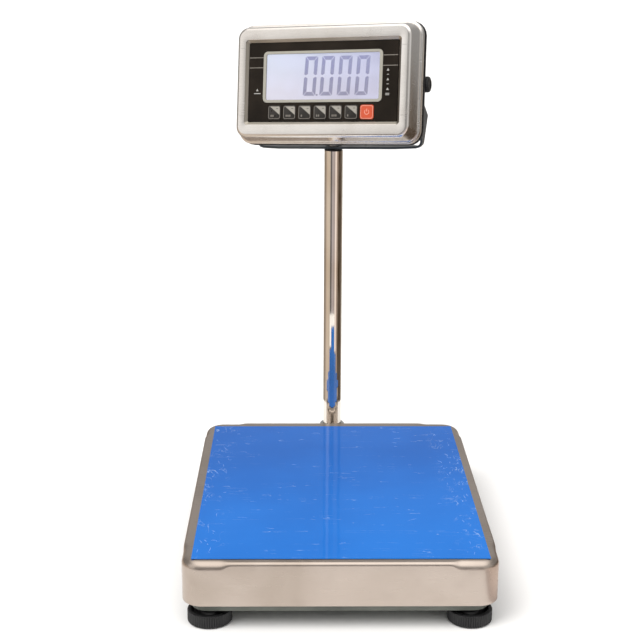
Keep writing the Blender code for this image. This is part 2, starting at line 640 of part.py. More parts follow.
def display_glass(tilt):
    clear = material("display_glass", (0.85, 0.87, 0.95), 0.05)
    half_x, half_z = WINDOW_X - GAP, WINDOW_Z - GAP
    rings = [upright_ring(half_x, half_z, 0.0018, y, WINDOW_MID)
             for y in (PANEL_FRONT + 0.0002, PANEL_FRONT + 0.0014)]
    place("display_glass", loft("display_glass", rings), clear, parent=tilt)


def lcd_module(tilt):
    glow = material("lcd_module", (0.75, 0.76, 0.88), 0.4)
    front = PANEL_FRONT + PANEL_THICK + GAP
    rings = [upright_ring(WINDOW_X + 0.003, WINDOW_Z + 0.002, 0.001, y, WINDOW_MID + 0.0015)
             for y in (front, front + 0.0040)]
    place("lcd_module", loft("lcd_module", rings), glow, parent=tilt)


def main_board(tilt):
    green = material("circuit_board", (0.02, 0.20, 0.08), 0.4)
    rings = [upright_ring(0.096, 0.046, 0.003, y) for y in (-0.0412, -0.0396)]
    place("main_board", loft("main_board", rings), green, parent=tilt)


def battery(tilt):
    grey = material("battery", (0.10, 0.10, 0.12), 0.5)
    rings = [upright_ring(0.048, 0.022, 0.003, y, -0.035) for y in (-0.0220, 0.0100)]
    place("battery", loft("battery", rings), grey, parent=tilt)


def key_places():
    middle = (KEY_COUNT + 1) / 2
    return [(number, (number - middle) * KEY_PITCH - 0.0012) for number in range(1, KEY_COUNT + 1)]


def keys(tilt):
    """Square keys that stand slightly proud of the panel, each kept in by a flange behind it."""
    dark = material("key_black", (0.02, 0.018, 0.016), 0.4)
    orange = material("key_orange", (0.80, 0.12, 0.03), 0.4)
    flange = PANEL_FRONT + PANEL_THICK + GAP
    shape = [(KEY_HALF - 0.0008, PANEL_FRONT - 0.0006), (KEY_HALF, PANEL_FRONT - 0.0002),
             (KEY_HALF, flange), (KEY_HALF + 0.0011, flange), (KEY_HALF + 0.0011, flange + 0.0008)]
    for number, x in key_places():
        rings = [[(p.x, y, p.y) for p in rounded(half, half, 0.0028, 3)] for half, y in shape]
        name = f"key_{number}"
        mat = orange if number == KEY_COUNT else dark
        place(name, loft(name, rings), mat, (x, 0, KEY_Z), parent=tilt)


def knobs(tilt):
    """Tilt clamp knobs: a ribbed head outside the bracket arm and a shank in the housing's boss."""
    seat = BRACKET_ARM + BRACKET_SHEET / 2 + 0.0004
    head = seat + 0.0010
    neck = 0.0080
    profile = [(0.0037, 0.104), (0.0037, seat), (neck, seat), (neck, head), (KNOB_RADIUS, head),
               (KNOB_RADIUS, head + 0.0095), (0.0092, head + 0.0111)]
    for name, side in (("knob_left", -1), ("knob_right", 1)):
        mesh = turned(name, profile, 20, ribs=0.0006)
        place(name, mesh, black_plastic(), rotation=(0, side * math.pi / 2, 0), parent=tilt)


# ---------------------------------------------------------------- assembly
def build():
    clear_scene()
    pan()
    film()
    upper_frame()
    pan_pads()
    load_cell()
    cell_top_block()
    cell_bolts()
    base_frame()
    foot_nuts()
    feet()
    bubble_level()
    column_socket()
    column_bolts()
    column()

    facing = Matrix.Rotation(HEAD_YAW, 3, "Z") @ Matrix.Rotation(-HEAD_LEAN, 3, "Y")
    head = empty("swivel_axis", (0, PAN_Y + COLUMN_Y, HEAD_Z), facing)
    tilt = empty("tilt_axis", (HEAD_SHIFT, 0, PIVOT_RISE + GAP),
                 Matrix.Rotation(-HEAD_TILT, 3, "X"), head)
    column_plug(head)
    swivel_bolt(head)
    indicator_bracket(head)
    front_shell(tilt)
    gasket(tilt)
    rear_shell(tilt)
    case_screws(tilt)
    cable_glands(tilt)
    front_panel(tilt)
    display_glass(tilt)
    lcd_module(tilt)
    main_board(tilt)
    battery(tilt)
    keys(tilt)
    knobs(tilt)


build()
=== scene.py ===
"""Looks of the platform shipping scale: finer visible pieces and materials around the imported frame."""
import json
import math
import random

import bmesh
import bpy
from mathutils import Matrix, Vector, noise


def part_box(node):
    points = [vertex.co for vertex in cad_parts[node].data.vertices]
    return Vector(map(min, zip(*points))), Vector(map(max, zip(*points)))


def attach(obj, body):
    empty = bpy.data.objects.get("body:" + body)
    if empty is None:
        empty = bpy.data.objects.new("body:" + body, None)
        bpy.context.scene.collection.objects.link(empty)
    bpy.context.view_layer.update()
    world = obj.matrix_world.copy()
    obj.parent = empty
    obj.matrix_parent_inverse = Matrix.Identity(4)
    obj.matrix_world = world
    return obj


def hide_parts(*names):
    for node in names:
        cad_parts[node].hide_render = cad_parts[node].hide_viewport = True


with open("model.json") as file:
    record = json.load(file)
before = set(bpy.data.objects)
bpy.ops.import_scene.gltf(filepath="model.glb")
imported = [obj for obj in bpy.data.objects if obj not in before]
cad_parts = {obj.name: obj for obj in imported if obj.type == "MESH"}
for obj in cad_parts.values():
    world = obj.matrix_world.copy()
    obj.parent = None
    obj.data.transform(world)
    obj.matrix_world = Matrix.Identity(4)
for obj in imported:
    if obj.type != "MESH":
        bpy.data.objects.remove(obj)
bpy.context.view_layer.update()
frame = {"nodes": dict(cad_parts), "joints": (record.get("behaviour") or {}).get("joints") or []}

NODES = frame["nodes"]
JOINTS = {joint["name"]: joint for joint in frame["joints"]}
CORNERS = ("fl", "fr", "rl", "rr")
MM = 0.001

# ---------------------------------------------------------------- driving dimensions, metres
PAN_CORNER = 0.024
PAN_SHEET = 0.0015
PAN_FLAT = 0.0125                              # the top is flat from here inwards
SKIRT_LEVELS = (0.064, 0.056, 0.048, 0.040, 0.033)
SKIRT_WAVE = 0.00009
HEM = ((0.0, 0.0009), (0.0002, 0.0003), (0.0006, 0.0), (0.0012, 0.0001), (PAN_SHEET, 0.0006))
HOLLOW = 0.0105                                # inside of the pan's round edge
EDGE_STRAIGHT, EDGE_CORNER = 0.0042, 0.0096    # radius between the pan's top and side
EDGE_FROM, EDGE_TO = 0.020, 0.031              # where the corner's wider radius fades out

CASE_HALF_X, CASE_HALF_Z, CASE_CORNER = 0.1285, 0.0790, 0.018
CASE_FRONT, CASE_SPLIT = -0.0512, -0.0168
FLANGE_DEEP, FLANGE_ROUND = 0.0075, 0.0008     # straight part of the rear flange and its front edge
RIM_X, RIM_Z, RIM_EDGE = 0.1172, 0.0677, 0.005
PANEL_X, PANEL_Z = 0.105, 0.0515
RECESS, RECESS_DEEP = 0.0045, 0.0044           # width and depth of the slope round the panel
PANEL_FRONT = -0.0486
WINDOW_X, WINDOW_Z, WINDOW_MID = 0.0797, 0.0300, 0.00685
LCD_FRONT = PANEL_FRONT + 0.0019
KEY_HALF, KEY_Z, KEY_PITCH, KEY_COUNT = 0.0093, -0.0398, 0.0218, 7
KEY_FRONT = PANEL_FRONT - 0.0006
KEY_LEDGE = 0.0011                             # flange that keeps a key behind the panel
PRINT = 0.00006                                # thickness of an ink layer
KNOB_RADIUS, KNOB_SEAT, KNOB_HEAD, KNOB_END = 0.0104, 0.1204, 0.1214, 0.1325

CAMERA_PLACE = Vector((-0.0409, -1.6230, 0.7249))
CAMERA_YAW, CAMERA_DOWN, CAMERA_ROLL = 0.727, 15.436, 0.231    # degrees
CAMERA_LENS = 76.14                            # millimetres on a 36 mm frame
FLOOR_REACH = 40.0
RING_NEAR, RING_AHEAD = 0.30, 0.86             # where the reflected ring starts, beside and before the pan
AHEAD_LEFT, AHEAD_RIGHT = 0.70, 0.90           # cosines of the angles that count as before the pan
KEY_SOURCE = Vector((-0.62, -0.42, 1.0))


def tilt_frame():
    """Place of the indicator: X along the tilt axis, Y into the case, Z up its face."""
    across = Vector(JOINTS["head_tilt"]["axis"]).normalized()
    inward = Vector(JOINTS["key_1_press"]["axis"]).normalized()
    upward = across.cross(inward)
    matrix = Matrix((across, inward, upward)).transposed().to_4x4()
    matrix.translation = Vector(JOINTS["head_tilt"]["pos_m"])
    return matrix


TILT = tilt_frame()
LEVEL = Matrix.Identity(4)


# ---------------------------------------------------------------- material helper
class Look:
    """One node material built round a Principled BSDF, in object coordinates or in those of a place."""

    def __init__(self, name, colour, roughness, metallic=0.0, place=None, **sockets):
        self.mat = bpy.data.materials.new(name)
        self.mat.use_nodes = True
        self.mat.diffuse_color = (*colour, 1.0)
        self.tree = self.mat.node_tree
        self.shader = self.tree.nodes["Principled BSDF"]
        self.put("Base Color", (*colour, 1.0))
        self.put("Roughness", roughness)
        self.put("Metallic", metallic)
        for socket, value in sockets.items():
            self.put(socket.replace("_", " "), value)
        self.object = self.add("ShaderNodeTexCoord").outputs["Object"]
        if place is not None:
            local = self.add("ShaderNodeMapping", vector_type="TEXTURE")
            local.inputs["Location"].default_value = place.to_translation()
            local.inputs["Rotation"].default_value = place.to_euler()
            self.wire(self.object, local.inputs["Vector"])
            self.object = local.outputs["Vector"]

    def put(self, socket, value):
        self.shader.inputs[socket].default_value = value

    def add(self, kind, **settings):
        node = self.tree.nodes.new(kind)
        for key, value in settings.items():
            setattr(node, key, value)
        return node

    def wire(self, source, target):
        self.tree.links.new(source, target)

    def space(self, stretch=(1, 1, 1), turn=(0, 0, 0)):
        mapping = self.add("ShaderNodeMapping")
        mapping.inputs["Scale"].default_value = stretch
        mapping.inputs["Rotation"].default_value = turn
        self.wire(self.object, mapping.inputs["Vector"])
        return mapping.outputs["Vector"]

    def noise(self, scale, stretch=(1, 1, 1), detail=3.0, turn=(0, 0, 0), distortion=0.0):
        node = self.add("ShaderNodeTexNoise")
        node.inputs["Scale"].default_value = scale
        node.inputs["Detail"].default_value = detail
        node.inputs["Distortion"].default_value = distortion
        self.wire(self.space(stretch, turn), node.inputs["Vector"])
        return node.outputs["Fac"]

    def cells(self, scale, stretch=(1, 1, 1), feature="F1"):
        node = self.add("ShaderNodeTexVoronoi", feature=feature)
        node.inputs["Scale"].default_value = scale
        self.wire(self.space(stretch), node.inputs["Vector"])
        return node.outputs["Distance"]

    def spread(self, value, source, target, smooth=False):
        node = self.add("ShaderNodeMapRange")
        node.interpolation_type = "SMOOTHSTEP" if smooth else "LINEAR"
        for socket, number in zip(("From Min", "From Max", "To Min", "To Max"), (*source, *target)):
            node.inputs[socket].default_value = number
        self.wire(value, node.inputs["Value"])
        return node.outputs["Result"]

    def math(self, operation, first, second=None):
        node = self.add("ShaderNodeMath", operation=operation)
        for socket, value in zip(node.inputs, (first, second)):
            if isinstance(value, (int, float)):
                socket.default_value = value
            elif value is not None:
                self.wire(value, socket)
        return node.outputs["Value"]

    def blend(self, share, first, second):
        """Colour between first and second; either may be a socket or a colour."""
        node = self.add("ShaderNodeMix", data_type="RGBA")
        self.wire(share, node.inputs["Factor"])
        for socket, value in ((node.inputs[6], first), (node.inputs[7], second)):
            if isinstance(value, tuple):
                socket.default_value = (*value, 1.0)
            else:
                self.wire(value, socket)
        return node.outputs[2]

    def colour(self, value):
        self.wire(value, self.shader.inputs["Base Color"])
        return self

    def rough(self, value):
        self.wire(value, self.shader.inputs["Roughness"])
        return self

    def bump(self, height, strength, distance=0.0005):
        node = self.add("ShaderNodeBump")
        node.inputs["Strength"].default_value = strength
        node.inputs["Distance"].default_value = distance
        self.wire(height, node.inputs["Height"])
        self.wire(node.outputs["Normal"], self.shader.inputs["Normal"])
        return self

    def axis(self, index):
        split = self.add("ShaderNodeSeparateXYZ")
        self.wire(self.object, split.inputs["Vector"])
        return split.outputs[index]


# ---------------------------------------------------------------- materials
def satin_steel(name, dark, light, low, high, stretch, place=None, grain=900.0, scratch=0.10):
    """Satin stainless sheet: fine grain along one direction, soft clouds and handling marks."""
    look = Look(name, light, (low + high) / 2, 1.0, place)
    clouds = look.noise(9.0, detail=4.0, distortion=0.6)
    lines = look.noise(grain, stretch, detail=2.0)
    marks = look.noise(46.0, detail=5.0)
    tone = look.spread(clouds, (0.32, 0.68), (0.0, 1.0), True)
    look.colour(look.blend(tone, dark, light))
    base = look.spread(lines, (0.3, 0.7), (low, high))
    smear = look.spread(marks, (0.52, 0.74), (0.0, 0.09), True)
    look.rough(look.math("ADD", base, smear))
    return look.bump(lines, scratch, 0.00012).mat


def polished_tube():
    look = Look("polished_stainless", (0.80, 0.74, 0.67), 0.07, 1.0)
    drawn = look.noise(1500.0, (1, 1, 0.012), detail=2.0)
    marks = look.noise(70.0, (1, 1, 0.3), detail=5.0)
    tone = look.spread(look.noise(16.0), (0.3, 0.7), (0.0, 1.0), True)
    look.colour(look.blend(tone, (0.74, 0.67, 0.58), (0.84, 0.79, 0.73)))
    smear = look.spread(marks, (0.55, 0.8), (0.0, 0.05), True)
    look.rough(look.math("ADD", look.spread(drawn, (0.3, 0.7), (0.030, 0.060)), smear))
    return look.bump(drawn, 0.05, 0.00008).mat


def film_blue():
    """Glossy blue protective film with scuffs near its side edges, thin scratches, dust and a painted sheen
    to the front.
    """
    look = Look("blue_film", (0.01, 0.14, 0.62), 0.16, 0.0, Coat_Weight=0.45, Coat_Roughness=0.02,
                Coat_IOR=1.4, Specular_IOR_Level=0.04)
    clouds = look.spread(look.noise(6.0), (0.35, 0.65), (0.0, 1.0), True)
    # Painted sheen and shade: the blue is brighter towards the front, where the film mirrors more light, and
    # darker towards the rear.
    along = look.spread(look.axis(1), (-0.30, 0.16), (0.0, 1.0), True)
    front = look.blend(clouds, (0.004, 0.140, 0.54), (0.007, 0.160, 0.59))
    rear_painted_shade = look.blend(clouds, (0.003, 0.098, 0.42), (0.006, 0.115, 0.47))
    blue = look.blend(along, front, rear_painted_shade)

    side = look.spread(look.math("ABSOLUTE", look.axis(0)), (0.120, 0.158), (0.0, 1.0), True)
    patch = look.spread(look.noise(26.0, detail=4.0), (0.50, 0.66), (0.0, 1.0), True)
    curl = look.noise(60.0, (1, 0.55, 1), 5.0, distortion=1.2)
    fibre = look.math("ABSOLUTE", look.math("SUBTRACT", curl, 0.5))
    thread = look.spread(fibre, (0.0, 0.016), (1.0, 0.0), True)
    scuff = look.math("MULTIPLY", look.math("MULTIPLY", thread, patch), side)

    long_wave = look.noise(7.0, (0.45, 6.5, 1), 4.0, distortion=0.25)
    crest = look.math("ABSOLUTE", look.math("SUBTRACT", long_wave, 0.52))
    line = look.spread(crest, (0.0, 0.0022), (1.0, 0.0), True)
    broken = look.spread(look.noise(75.0, (1, 0.3, 1), 3.0), (0.46, 0.60), (0.0, 0.9), True)
    streak = look.math("MULTIPLY", line, broken)
    specks = look.spread(look.cells(150.0), (0.0, 0.055), (1.0, 0.0), True)
    rare = look.spread(look.noise(40.0), (0.60, 0.66), (0.0, 0.8), True)
    dust = look.math("MULTIPLY", specks, rare)

    worn = look.math("MAXIMUM", look.math("MAXIMUM", scuff, streak), dust)
    worn = look.math("MULTIPLY", worn, 0.70)
    look.colour(look.blend(worn, blue, (0.42, 0.56, 0.80)))
    base = look.spread(look.noise(30.0, detail=4.0), (0.3, 0.7), (0.10, 0.20))
    look.rough(look.math("ADD", base, look.math("MULTIPLY", worn, 0.35)))
    sag = look.math("ADD", look.noise(14.0, detail=2.0), look.math("MULTIPLY", worn, 0.15))
    return look.bump(sag, 0.06, 0.0012).mat


def film_ridge():
    look = Look("film_ridge", (0.16, 0.36, 0.84), 0.24, Coat_Weight=0.3, Coat_Roughness=0.08)
    tone = look.spread(look.noise(400.0), (0.35, 0.65), (0.0, 1.0), True)
    look.colour(look.blend(tone, (0.10, 0.30, 0.85), (0.40, 0.54, 0.86)))
    return look.bump(tone, 0.15, 0.0001).mat


def paint(name, dark, light, low, high, metallic=0.0):
    """Sprayed paint with a slight orange peel, dust and rubbed patches."""
    look = Look(name, light, (low + high) / 2, metallic)
    peel = look.noise(420.0, detail=2.0)
    tone = look.spread(look.noise(22.0, detail=5.0), (0.34, 0.66), (0.0, 1.0), True)
    look.colour(look.blend(tone, dark, light))
    look.rough(look.spread(look.noise(55.0, detail=4.0), (0.3, 0.7), (low, high)))
    return look.bump(peel, 0.12, 0.0002).mat


def plastic(name, dark, light, low, high, grain=1700.0, bump=0.22):
    """Moulded plastic with a fine spark-eroded grain and faint handling shine."""
    look = Look(name, light, (low + high) / 2, Specular_IOR_Level=0.45)
    texture = look.noise(grain, detail=2.0)
    tone = look.spread(look.noise(60.0, detail=4.0), (0.3, 0.7), (0.0, 1.0), True)
    look.colour(look.blend(tone, dark, light))
    look.rough(look.spread(look.noise(95.0, detail=4.0), (0.3, 0.7), (low, high)))
    return look.bump(texture, bump, 0.00008).mat


def rubber():
    look = Look("rubber", (0.022, 0.022, 0.023), 0.82, Specular_IOR_Level=0.3)
    tone = look.spread(look.noise(130.0, detail=5.0), (0.4, 0.7), (0.0, 1.0), True)
    look.colour(look.blend(tone, (0.016, 0.016, 0.017), (0.050, 0.049, 0.047)))
    look.rough(look.spread(look.noise(300.0), (0.3, 0.7), (0.70, 0.92)))
    return look.bump(look.noise(900.0), 0.35, 0.0001).mat


def zinc():
    """Bright zinc plate: faint crystal spangle and darker tarnish."""
    look = Look("zinc_steel", (0.58, 0.58, 0.57), 0.32, 1.0)
    spangle = look.cells(420.0)
    tone = look.spread(look.noise(180.0, detail=4.0), (0.3, 0.7), (0.0, 1.0), True)
    look.colour(look.blend(tone, (0.44, 0.44, 0.43), (0.66, 0.66, 0.64)))
    look.rough(look.spread(spangle, (0.0, 0.8), (0.24, 0.42)))
    return look.bump(spangle, 0.06, 0.0001).mat


def aluminium():
    look = Look("aluminium", (0.66, 0.67, 0.68), 0.36, 1.0)
    milling = look.noise(700.0, (1, 0.05, 1), detail=2.0)
    tone = look.spread(look.noise(35.0), (0.3, 0.7), (0.0, 1.0), True)
    look.colour(look.blend(tone, (0.60, 0.61, 0.63), (0.72, 0.73, 0.73)))
    look.rough(look.spread(milling, (0.3, 0.7), (0.28, 0.46)))
    return look.bump(milling, 0.12, 0.0001).mat


def acrylic():
    look = Look("level_acrylic", (0.62, 0.78, 0.22), 0.08, Coat_Weight=0.6, Coat_Roughness=0.03)
    depth = look.spread(look.noise(210.0), (0.3, 0.7), (0.0, 1.0), True)
    look.colour(look.blend(depth, (0.50, 0.68, 0.14), (0.70, 0.84, 0.32)))
    return look.rough(look.spread(depth, (0.0, 1.0), (0.05, 0.12))).mat


def panel_black():
    """Warm black front foil: satin, with a very fine emboss and light finger marks."""
    look = Look("panel_black", (0.012, 0.009, 0.006), 0.34, Specular_IOR_Level=0.16)
    tone = look.spread(look.noise(28.0, detail=4.0), (0.3, 0.7), (0.0, 1.0), True)
    look.colour(look.blend(tone, (0.008, 0.0052, 0.0030), (0.016, 0.0112, 0.0072)))
    look.rough(look.spread(look.noise(70.0, detail=5.0), (0.3, 0.7), (0.28, 0.42)))
    return look.bump(look.noise(2600.0, detail=1.0), 0.10, 0.00005).mat


def ink(name, colour, worn=0.86):
    """Screen-printed ink, slightly uneven in strength."""
    look = Look(name, colour, 0.45)
    tone = look.spread(look.noise(1300.0, detail=3.0), (0.35, 0.65), (0.0, 1.0), True)
    pale = tuple(value * worn for value in colour)
    look.colour(look.blend(tone, pale, colour))
    look.rough(look.spread(tone, (0.0, 1.0), (0.38, 0.52)))
    return look.bump(tone, 0.08, 0.00003).mat


def lcd_backlight():
    """Backlit display: lilac white, brighter to the lower left, greyer to the right, blue at the top."""
    look = Look("lcd_backlight", (0.60, 0.61, 0.78), 0.4, place=TILT)
    across = look.spread(look.axis(0), (-0.080, 0.080), (0.0, 1.0), True)
    height = look.spread(look.axis(2), (-0.023, 0.037), (0.0, 1.0), True)
    cloud = look.spread(look.noise(28.0, detail=1.0), (0.35, 0.65), (0.0, 1.0), True)
    low = look.blend(across, (0.86, 0.82, 0.90), (0.62, 0.59, 0.72))
    high = look.blend(across, (0.78, 0.83, 0.95), (0.56, 0.57, 0.76))
    glow = look.blend(height, low, high)
    glow = look.blend(look.math("MULTIPLY", cloud, 0.2), glow, (0.74, 0.76, 0.94))
    look.wire(glow, look.shader.inputs["Emission Color"])
    look.put("Emission Strength", 0.74)
    look.put("Specular IOR Level", 0.1)
    look.colour(look.blend(cloud, (0.16, 0.16, 0.20), (0.20, 0.20, 0.25)))
    return look.rough(look.spread(cloud, (0.0, 1.0), (0.35, 0.5))).mat


def lcd_segment():
    """Dark liquid crystal over the backlight: grey violet, a little bluer towards the top."""
    look = Look("lcd_segment", (0.20, 0.20, 0.30), 0.5, place=TILT, Specular_IOR_Level=0.1)
    height = look.spread(look.axis(2), (-0.020, 0.034), (0.0, 1.0), True)
    cloud = look.spread(look.noise(160.0), (0.3, 0.7), (0.0, 1.0), True)
    tone = look.blend(height, (0.33, 0.31, 0.43), (0.35, 0.36, 0.60))
    tone = look.blend(look.math("MULTIPLY", cloud, 0.3), tone, (0.38, 0.38, 0.53))
    look.wire(tone, look.shader.inputs["Emission Color"])
    look.put("Emission Strength", 0.78)
    look.colour(look.blend(cloud, (0.05, 0.05, 0.08), (0.07, 0.07, 0.10)))
    return look.mat


def clear_glass():
    look = Look("display_glass", (0.97, 0.98, 1.0), 0.03, Transmission_Weight=1.0, IOR=1.35)
    haze = look.spread(look.noise(90.0, detail=4.0), (0.35, 0.75), (0.02, 0.08), True)
    return look.rough(haze).mat


def circuit_board():
    look = Look("circuit_board", (0.02, 0.17, 0.07), 0.4)
    tracks = look.spread(look.cells(260.0, (1, 1, 0.35)), (0.30, 0.42), (0.0, 1.0), True)
    look.colour(look.blend(tracks, (0.03, 0.24, 0.10), (0.012, 0.13, 0.05)))
    return look.bump(tracks, 0.2, 0.0001).mat


def floor_white():
    look = Look("studio_floor", (0.88, 0.88, 0.88), 0.75, Specular_IOR_Level=0.1)
    tone = look.spread(look.noise(2.2, detail=3.0), (0.3, 0.7), (0.0, 1.0), True)
    look.colour(look.blend(tone, (0.87, 0.87, 0.875), (0.89, 0.89, 0.89)))
    return look.bump(look.noise(160.0), 0.03, 0.0005).mat


# ---------------------------------------------------------------- mesh helpers
def rounded(half_a, half_b, radius, steps=14):
    """Outline of a rectangle with round corners, counter-clockwise, as (a, b) pairs."""
    points = []
    for quarter, (side_a, side_b) in enumerate(((1, 1), (-1, 1), (-1, -1), (1, -1))):
        mid_a, mid_b = side_a * (half_a - radius), side_b * (half_b - radius)
        for step in range(steps + 1):
            angle = math.pi / 2 * (quarter + step / steps)
            points.append((mid_a + radius * math.cos(angle), mid_b + radius * math.sin(angle)))
    return points


def skin(bm, rings, closed=False, caps=(True, True)):
    """Quads between rings of equal point count; the ends are capped, or joined when closed."""
    loops = [[bm.verts.new(point) for point in ring] for ring in rings]
    pairs = list(zip(loops, loops[1:]))
    if closed:
        pairs.append((loops[-1], loops[0]))
    else:
        for wanted, loop in zip(caps, (loops[0], loops[-1])):
            if wanted:
                bm.faces.new(loop)
    for low, high in pairs:
        for i in range(len(low)):
            j = (i + 1) % len(low)
            bm.faces.new((low[i], low[j], high[j], high[i]))


def upright(outline, y, mid_z=0.0):
    return [(a, y, mid_z + b) for a, b in outline]


def plate(bm, outline, front, back):
    """A flat shape in the indicator's face plane, from its front to its back."""
    skin(bm, [upright(outline, front), upright(outline, back)])


def frame_ring(bm, outer, inner, front, back, round_off=0.0):
    """A flat ring between two outlines of equal count, its front edges eased by round_off."""
    eased_out = [(a * (1 - round_off), b * (1 - round_off)) for a, b in outer]
    eased_in = [(a * (1 + round_off), b * (1 + round_off)) for a, b in inner]
    step = (back - front) * 0.5 if round_off else 0.0
    rings = [upright(outer, back), upright(outer, front + step), upright(eased_out, front),
             upright(eased_in, front), upright(inner, front + step), upright(inner, back)]
    if not round_off:
        rings = [rings[0], rings[2], rings[3], rings[5]]
    skin(bm, rings, closed=True)


def spun(bm, profile, segments, wave=None, axis="Z"):
    """Profile of (radius, height) about an axis; wave(angle, radius, height) takes off some radius."""
    rings = []
    for radius, height in profile:
        ring = []
        for i in range(segments):
            angle = 2 * math.pi * i / segments
            reach = radius - (wave(angle, radius, height) if wave else 0.0)
            side, lift = reach * math.cos(angle), reach * math.sin(angle)
            ring.append((side, lift, height) if axis == "Z" else (height, side, lift))
        rings.append(ring)
    skin(bm, rings)


def shift(bm, offset, start=0):
    bm.verts.ensure_lookup_table()
    for vert in bm.verts[start:]:
        vert.co += Vector(offset)


def piece(name, bm, mat, body, replaced=(), place=LEVEL, sharp=38):
    bmesh.ops.recalc_face_normals(bm, faces=bm.faces)
    mesh = bpy.data.meshes.new(name)
    bm.to_mesh(mesh)
    bm.free()
    mesh.transform(place)
    for layer in mat if isinstance(mat, tuple) else (mat,):
        mesh.materials.append(layer)
    mesh.shade_smooth()
    mesh.set_sharp_from_angle(angle=math.radians(sharp))
    thing = bpy.data.objects.new(name, mesh)
    bpy.context.scene.collection.objects.link(thing)
    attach(thing, body)
    if replaced:
        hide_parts(*replaced)
    return thing


def dress(mat, *names):
    """The node keeps its shape and takes a finished material."""
    for name in names:
        for holder in NODES[name].material_slots:
            holder.material = mat


def soften(name, mat, body, width, angle=50):
    """A copy of a node with its hard edges broken by a small round bevel."""
    bm = bmesh.new()
    bm.from_mesh(NODES[name].data)
    bmesh.ops.remove_doubles(bm, verts=bm.verts, dist=1e-6)
    bmesh.ops.dissolve_limit(bm, angle_limit=math.radians(1.0), verts=bm.verts, edges=bm.edges)
    thing = piece(f"{name}_eased", bm, mat, body, (name,), sharp=45)
    bevel = thing.modifiers.new("eased", "BEVEL")
    bevel.width = width
    bevel.segments = 2
    bevel.limit_method = "ANGLE"
    bevel.angle_limit = math.radians(angle)
    bevel.harden_normals = True
    return thing


# ---------------------------------------------------------------- weighing pan and film
def pan_stations():
    """Points round the pan: place, outward direction and distance from the nearest corner arc."""
    low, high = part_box("weighing_pan")
    mid, half = (low + high) / 2, (high - low) / 2
    arc_steps, spacing = 18, 0.004
    stations = []
    sides = ((1, 1), (-1, 1), (-1, -1), (1, -1))
    for quarter, (side_x, side_y) in enumerate(sides):
        centre = Vector((mid.x + side_x * (half.x - PAN_CORNER), mid.y + side_y * (half.y - PAN_CORNER)))
        for step in range(arc_steps + 1):
            angle = math.pi / 2 * (quarter + step / arc_steps)
            outward = Vector((math.cos(angle), math.sin(angle)))
            stations.append((centre + PAN_CORNER * outward, outward, 0.0))
        length = 2 * ((half.x, half.y)[quarter % 2] - PAN_CORNER)
        along = Vector((-outward.y, outward.x))
        start = stations[-1][0]
        count = int(length / spacing)
        for step in range(1, count):
            run = length * step / count
            stations.append((start + along * run, outward, min(run, length - run)))
    return stations


def edge_radius(run):
    share = min(max((run - EDGE_FROM) / (EDGE_TO - EDGE_FROM), 0.0), 1.0)
    share = share * share * (3 - 2 * share)
    return EDGE_CORNER + (EDGE_STRAIGHT - EDGE_CORNER) * share


def pan(mat):
    """Pressed tray: wider round edge at its four corners, a slightly wavy skirt and a broken lower edge."""
    low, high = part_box("weighing_pan")
    top, bottom = high.z, low.z
    stations = pan_stations()

    def ring(depth_of, height_of):
        points = []
        for spot, outward, run in stations:
            radius = edge_radius(run)
            place = spot - outward * depth_of(radius, spot)
            points.append((place.x, place.y, height_of(radius)))
        return points

    def wave(spot, height):
        return SKIRT_WAVE * (1 + noise.noise(Vector((spot.x * 14, spot.y * 14, height * 30))))

    rings = [ring(lambda radius, spot: PAN_FLAT, lambda radius: top)]
    arc_steps = 9
    for step in range(arc_steps + 1):
        angle = math.pi / 2 * step / arc_steps
        rings.append(ring(lambda radius, spot, a=angle: radius * (1 - math.sin(a)),
                          lambda radius, a=angle: top - radius * (1 - math.cos(a))))
    for height in SKIRT_LEVELS:
        rings.append(ring(lambda radius, spot, z=height: wave(spot, z), lambda radius, z=height: z))
    for depth, rise in HEM:
        rings.append(ring(lambda radius, spot, d=depth: d, lambda radius, r=rise: bottom + r))
    rings.append(ring(lambda radius, spot: PAN_SHEET, lambda radius: top - HOLLOW))
    rings.append(ring(lambda radius, spot: HOLLOW, lambda radius: top - PAN_SHEET))
    bm = bmesh.new()
    skin(bm, rings)
    piece("pan_tray", bm, mat, "pan", ("weighing_pan",), sharp=50)


def film(mat):
    """Self-adhesive film: a thin sheet that lies nearly flat, with a faint sag between its edges."""
    low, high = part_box("protective_film")
    count_x, count_y = 96, 122
    slack = 0.00012
    bm = bmesh.new()
    top = []
    for j in range(count_y + 1):
        row = []
        for i in range(count_x + 1):
            x = low.x + (high.x - low.x) * i / count_x
            y = low.y + (high.y - low.y) * j / count_y
            broad = noise.noise(Vector((x * 19, y * 15, 0.4)))
            fine = noise.noise(Vector((x * 60, y * 44, 3.1)))
            row.append(bm.verts.new((x, y, high.z - slack + slack * 0.6 * (broad + 0.5 * fine))))
        top.append(row)
    for j in range(count_y):
        for i in range(count_x):
            bm.faces.new((top[j][i], top[j][i + 1], top[j + 1][i + 1], top[j + 1][i]))
    border = top[0] + [row[-1] for row in top[1:]] + top[-1][-2::-1] + [row[0] for row in top[-2:0:-1]]
    under = [bm.verts.new((vert.co.x, vert.co.y, low.z)) for vert in border]
    for i in range(len(border)):
        j = (i + 1) % len(border)
        bm.faces.new((border[i], under[i], under[j], border[j]))
    bm.faces.new(under)
    piece("film_sheet", bm, mat, "pan", ("protective_film",), sharp=60)


